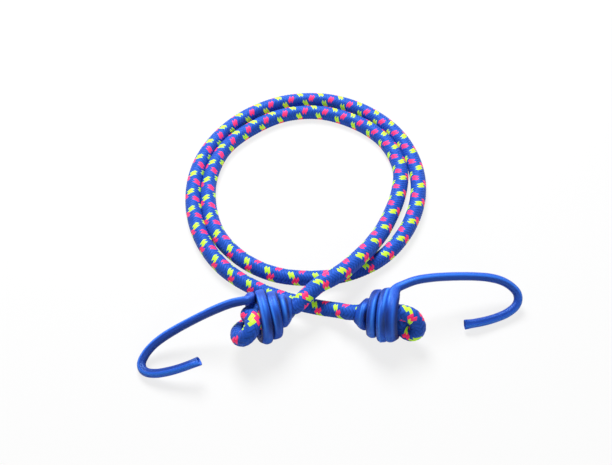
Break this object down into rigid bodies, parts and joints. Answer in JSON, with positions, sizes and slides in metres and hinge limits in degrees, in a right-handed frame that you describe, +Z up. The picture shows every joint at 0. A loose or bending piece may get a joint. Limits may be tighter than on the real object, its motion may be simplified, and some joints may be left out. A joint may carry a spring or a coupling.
{
  "type": "bungee cord",
  "caption": "Braided elastic tie-down cord lying coiled on a table, with a plastic-coated wire hook wound tightly round each folded-back end; the hooks turn as the cord twists.",
  "frame": {"origin": "on the table under the middle of the two hooks, the cord lying behind them towards +Y", "axes": "+X from the left hook to the right hook, +Y away from the hooks towards the loops, +Z up from the table"},
  "size_m": [0.1907, 0.1901, 0.0269],
  "materials": {
    "sheath": "braided synthetic yarn with coloured marks",
    "rubber": "bare natural rubber",
    "sleeve": "glossy soft PVC",
    "wire": "drawn, bare"
  },
  "bodies": {
    "cord": {"cord_sheath": "sheath", "cord_rubber_thread_1": "rubber", "cord_rubber_thread_2": "rubber", "cord_rubber_thread_3": "rubber", "cord_rubber_thread_4": "rubber", "cord_rubber_thread_5": "rubber", "cord_rubber_thread_6": "rubber", "cord_rubber_thread_7": "rubber"},
    "left_hook": {"left_hook_wire": "wire", "left_hook_sleeve": "sleeve", "left_folded_end_sheath": "sheath", "left_folded_end_rubber_thread_1": "rubber", "left_folded_end_rubber_thread_2": "rubber", "left_folded_end_rubber_thread_3": "rubber", "left_folded_end_rubber_thread_4": "rubber", "left_folded_end_rubber_thread_5": "rubber", "left_folded_end_rubber_thread_6": "rubber", "left_folded_end_rubber_thread_7": "rubber"},
    "right_hook": {"right_hook_wire": "wire", "right_hook_sleeve": "sleeve", "right_folded_end_sheath": "sheath", "right_folded_end_rubber_thread_1": "rubber", "right_folded_end_rubber_thread_2": "rubber", "right_folded_end_rubber_thread_3": "rubber", "right_folded_end_rubber_thread_4": "rubber", "right_folded_end_rubber_thread_5": "rubber", "right_folded_end_rubber_thread_6": "rubber", "right_folded_end_rubber_thread_7": "rubber"}
  },
  "joints": [
    {"name": "left_hook_twist", "type": "hinge", "parent": "cord", "child": "left_hook", "pos_m": [-0.02099, 0.00798, 0.0132], "axis": [-0.9515, -0.3076, 0.0006], "range_deg": [-165, 135], "stiffness_Nm_per_rad": 0.002},
    {"name": "right_hook_twist", "type": "hinge", "parent": "cord", "child": "right_hook", "pos_m": [0.01016, 0.00668, 0.01031], "axis": [0.9677, -0.1482, 0.2041], "range_deg": [-150, 150], "stiffness_Nm_per_rad": 0.002}
  ]
}
